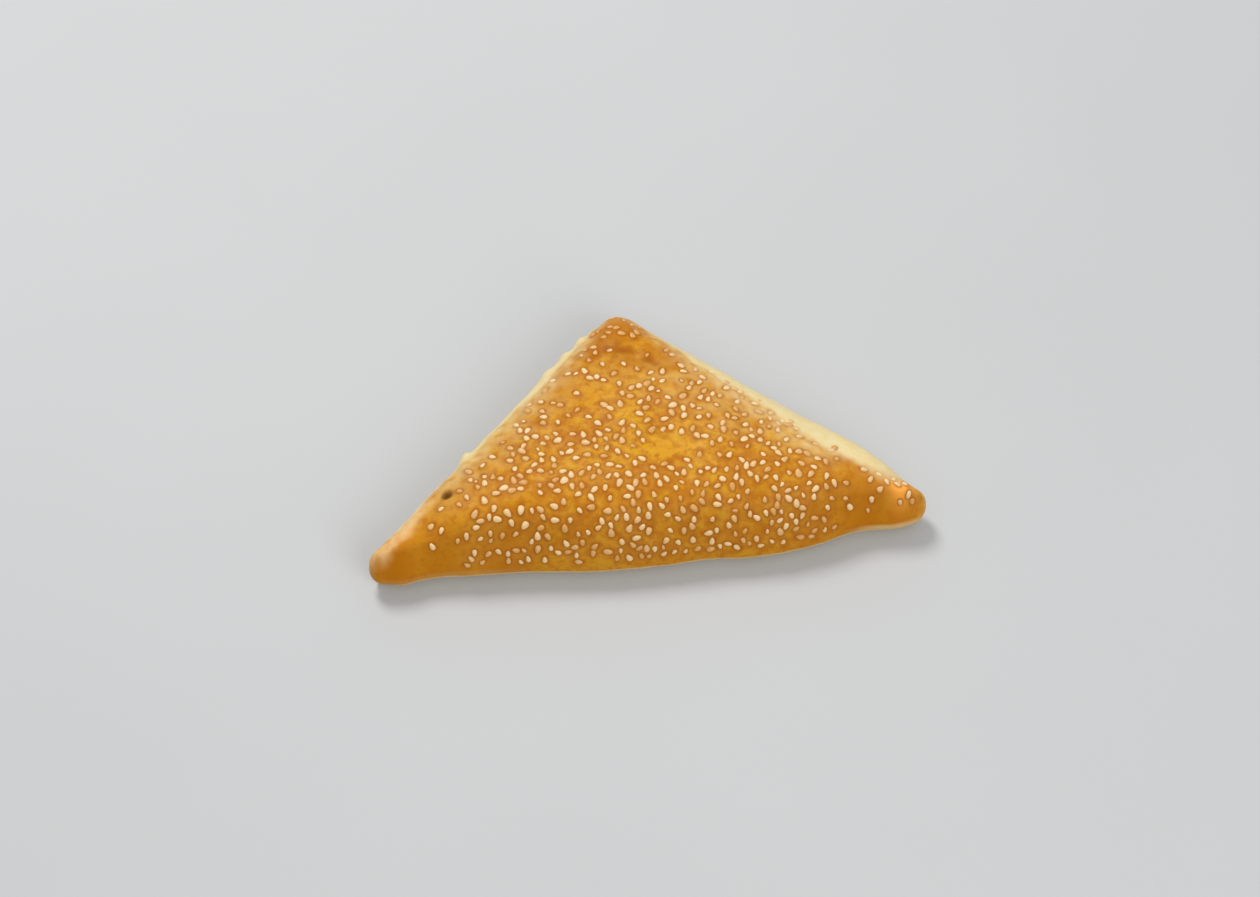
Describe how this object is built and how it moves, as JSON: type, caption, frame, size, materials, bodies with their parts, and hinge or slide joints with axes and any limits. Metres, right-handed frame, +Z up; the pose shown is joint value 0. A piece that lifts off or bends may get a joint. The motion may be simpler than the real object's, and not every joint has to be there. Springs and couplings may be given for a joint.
{
  "type": "ham and cheese pastry",
  "caption": "Triangular turnover of folded dough with one thick round fold, two sealed sides, rounded corners and sesame baked into its glazed top.",
  "frame": {"origin": "centre of the pastry's plan box, on the surface that it lies on", "axes": "+X along the long fold towards the thicker tip, +Y towards the apex between the two sealed sides, +Z up"},
  "size_m": [0.1979, 0.104, 0.0318],
  "materials": {
    "crust": "egg-glazed golden baked dough strewn with pale sesame"
  },
  "bodies": {
    "root": {"pastry": "crust"}
  },
  "joints": []
}
